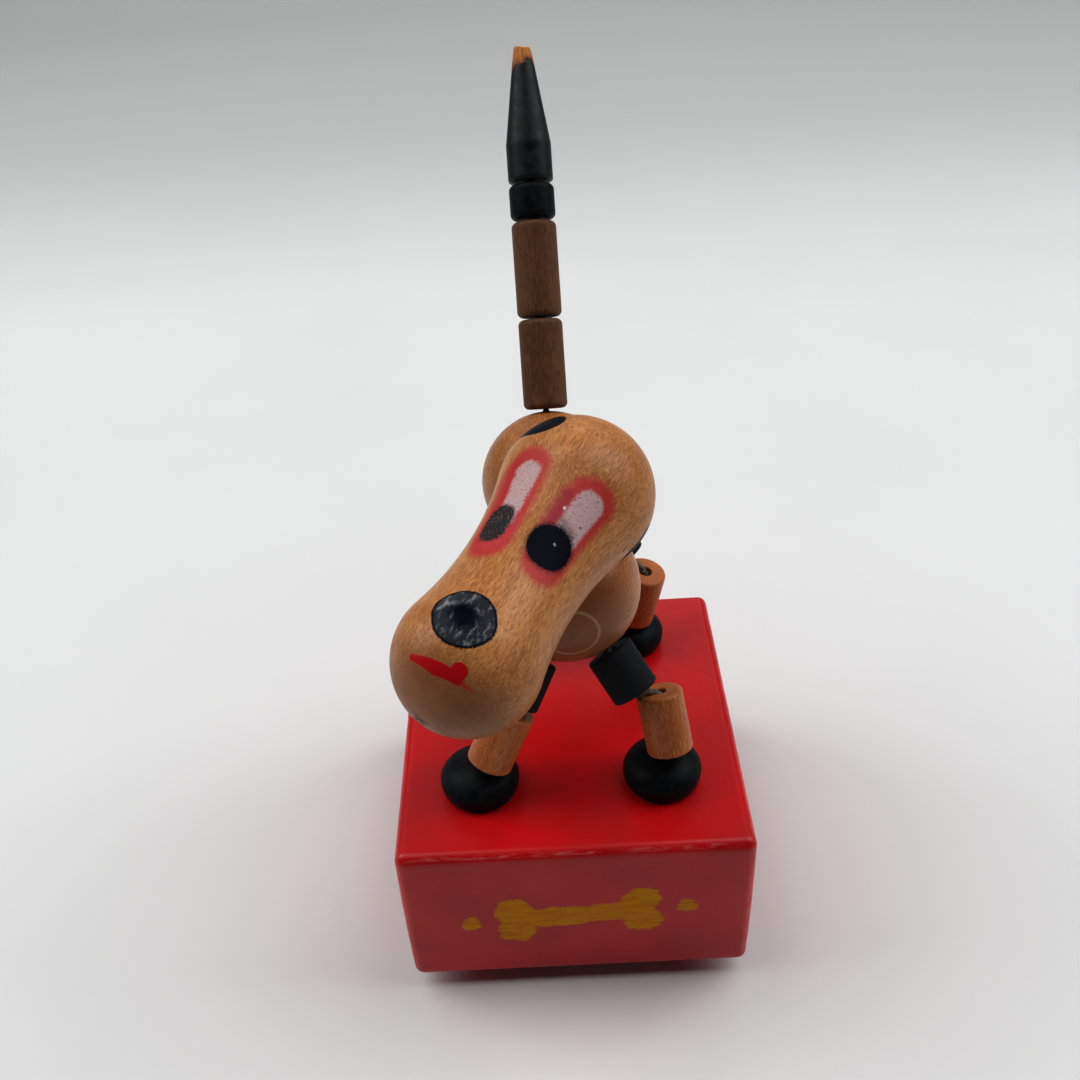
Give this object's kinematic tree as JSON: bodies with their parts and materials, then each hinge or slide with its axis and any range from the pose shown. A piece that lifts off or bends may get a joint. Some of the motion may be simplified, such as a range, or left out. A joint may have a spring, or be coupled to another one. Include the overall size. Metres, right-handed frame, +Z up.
{
  "type": "push puppet",
  "caption": "Wooden dog strung on cords, standing on a red block; pressing the sprung button under the block slackens the cords and the dog sinks back, nods and drops its tail",
  "frame": {"origin": "on the floor under the middle of the push button, at the face that the toy stands on", "axes": "+X to the dog's left, -Y to the front of the block, +Z up"},
  "size_m": [0.046, 0.0902, 0.1054],
  "materials": {
    "red_enamel": "gloss red enamel brushed on a wooden block",
    "bare_wood": "bare sanded wood",
    "varnished_wood": "clear varnish with fleck grain, painted face on the head",
    "brown_stain": "brown stain, satin",
    "black_lacquer": "black lacquer, satin, chipped at the tail",
    "cord": "twisted linen thread",
    "steel": "bright spring wire"
  },
  "bodies": {
    "base": {"base_block": "red_enamel", "return_spring": "steel", "bore_cords": "cord", "foot_cords": "cord", "front_left_foot": "black_lacquer", "front_right_foot": "black_lacquer", "rear_left_foot": "black_lacquer", "rear_right_foot": "black_lacquer"},
    "button": {"push_button": "bare_wood", "button_cords": "cord"},
    "front_left_lower": {"front_left_lower_leg": "varnished_wood", "front_left_lower_cord": "cord"},
    "front_left_upper": {"front_left_upper_leg": "black_lacquer", "front_left_upper_cord": "cord"},
    "front_right_lower": {"front_right_lower_leg": "varnished_wood", "front_right_lower_cord": "cord"},
    "front_right_upper": {"front_right_upper_leg": "black_lacquer", "front_right_upper_cord": "cord"},
    "rear_left_lower": {"rear_left_lower_leg": "varnished_wood", "rear_left_lower_cord": "cord"},
    "rear_left_upper": {"rear_left_upper_leg": "black_lacquer", "rear_left_upper_cord": "cord"},
    "rear_right_lower": {"rear_right_lower_leg": "varnished_wood", "rear_right_lower_cord": "cord"},
    "rear_right_upper": {"rear_right_upper_leg": "black_lacquer", "rear_right_upper_cord": "cord"},
    "torso": {"torso": "varnished_wood", "torso_cords": "cord"},
    "neck": {"neck_cord": "cord"},
    "head": {"head": "varnished_wood"},
    "tail_lower": {"tail_lower": "brown_stain", "tail_lower_cord": "cord"},
    "tail_upper": {"tail_upper": "brown_stain", "tail_upper_cord": "cord"},
    "tail_collar": {"tail_collar": "black_lacquer", "tail_collar_cord": "cord"},
    "tail_tip": {"tail_tip": "black_lacquer", "tail_tip_cord": "cord"}
  },
  "joints": [
    {"name": "button_press", "type": "slide", "parent": "base", "child": "button", "axis": [0, 0, 1], "range_m": [0, 0.006], "stiffness_N_per_m": 800, "springref_m": -0.005, "deforming": ["return_spring", "bore_cords"]},
    {"name": "front_left_ankle", "type": "hinge", "parent": "base", "child": "front_left_lower", "pos_m": [0.0129, -0.01085, 0.03355], "axis": [-1, 0, 0], "range_deg": [0, 24.48]},
    {"name": "front_left_knee", "type": "hinge", "parent": "front_left_lower", "child": "front_left_upper", "pos_m": [0.01155, -0.00754, 0.04115], "axis": [-1, 0, 0], "range_deg": [0, 8.16]},
    {"name": "front_right_ankle", "type": "hinge", "parent": "base", "child": "front_right_lower", "pos_m": [-0.0105, -0.01135, 0.03366], "axis": [-1, 0, 0], "range_deg": [0, 21.79]},
    {"name": "front_right_knee", "type": "hinge", "parent": "front_right_lower", "child": "front_right_upper", "pos_m": [-0.00694, -0.00897, 0.04089], "axis": [-1, 0, 0], "range_deg": [0, 10.78]},
    {"name": "rear_left_ankle", "type": "hinge", "parent": "base", "child": "rear_left_lower", "pos_m": [0.01238, 0.01582, 0.03361], "axis": [-0.7453, 0.6667, 0], "range_deg": [0, 27.62]},
    {"name": "rear_left_knee", "type": "hinge", "parent": "rear_left_lower", "child": "rear_left_upper", "pos_m": [0.00988, 0.01496, 0.04345], "axis": [-0.5913, -0.8065, 0], "range_deg": [0, 28.45]},
    {"name": "rear_right_ankle", "type": "hinge", "parent": "base", "child": "rear_right_lower", "pos_m": [-0.01325, 0.01615, 0.03371], "axis": [-0.8537, -0.5208, 0], "range_deg": [0, 22.25]},
    {"name": "rear_right_knee", "type": "hinge", "parent": "rear_right_lower", "child": "rear_right_upper", "pos_m": [-0.01181, 0.01562, 0.04334], "axis": [-0.8095, 0.5871, 0], "range_deg": [0, 23.3]},
    {"name": "front_left_hip", "type": "hinge", "parent": "front_left_lower", "child": "torso", "pos_m": [0.00045, -0.00109, 0.05809], "axis": [1, 0, 0], "range_deg": [0, 26.52]},
    {"name": "neck_nod", "type": "hinge", "parent": "torso", "child": "neck", "pos_m": [0.0012, -0.0082, 0.06304], "axis": [1, 0, 0], "range_deg": [0, 25.5]},
    {"name": "head_turn", "type": "hinge", "parent": "neck", "child": "head", "pos_m": [0.002, -0.00893, 0.07227], "axis": [0.0834, -0.2914, 0.953], "range_deg": [-45, 105]},
    {"name": "tail_lower_flop", "type": "hinge", "parent": "torso", "child": "tail_lower", "pos_m": [-0.00077, 0.02806, 0.06123], "axis": [-1, 0, 0], "range_deg": [0, 18.36]},
    {"name": "tail_upper_flop", "type": "hinge", "parent": "tail_lower", "child": "tail_upper", "pos_m": [-0.00096, 0.03482, 0.07204], "axis": [-1, 0, 0], "range_deg": [0, 16.32]},
    {"name": "tail_collar_flop", "type": "hinge", "parent": "tail_upper", "child": "tail_collar", "pos_m": [-0.00115, 0.04189, 0.08336], "axis": [-1, 0, 0], "range_deg": [0, 14.28]},
    {"name": "tail_tip_flop", "type": "hinge", "parent": "tail_collar", "child": "tail_tip", "pos_m": [-0.00123, 0.04457, 0.08765], "axis": [-1, 0, 0], "range_deg": [0, 14.28]}
  ],
  "couplings": [
    {"joint": "front_left_ankle", "follows": "button_press", "rad_per_m": 69.813},
    {"joint": "front_left_knee", "follows": "button_press", "rad_per_m": 23.271},
    {"joint": "front_right_ankle", "follows": "button_press", "rad_per_m": 62.134},
    {"joint": "front_right_knee", "follows": "button_press", "rad_per_m": 30.747},
    {"joint": "rear_left_ankle", "follows": "button_press", "rad_per_m": 78.757},
    {"joint": "rear_left_knee", "follows": "button_press", "rad_per_m": 81.122},
    {"joint": "rear_right_ankle", "follows": "button_press", "rad_per_m": 63.448},
    {"joint": "rear_right_knee", "follows": "button_press", "rad_per_m": 66.442},
    {"joint": "front_left_hip", "follows": "button_press", "rad_per_m": 75.631},
    {"joint": "neck_nod", "follows": "button_press", "rad_per_m": 72.722},
    {"joint": "tail_lower_flop", "follows": "button_press", "rad_per_m": 52.36},
    {"joint": "tail_upper_flop", "follows": "button_press", "rad_per_m": 46.542},
    {"joint": "tail_collar_flop", "follows": "button_press", "rad_per_m": 40.724},
    {"joint": "tail_tip_flop", "follows": "button_press", "rad_per_m": 40.724}
  ]
}
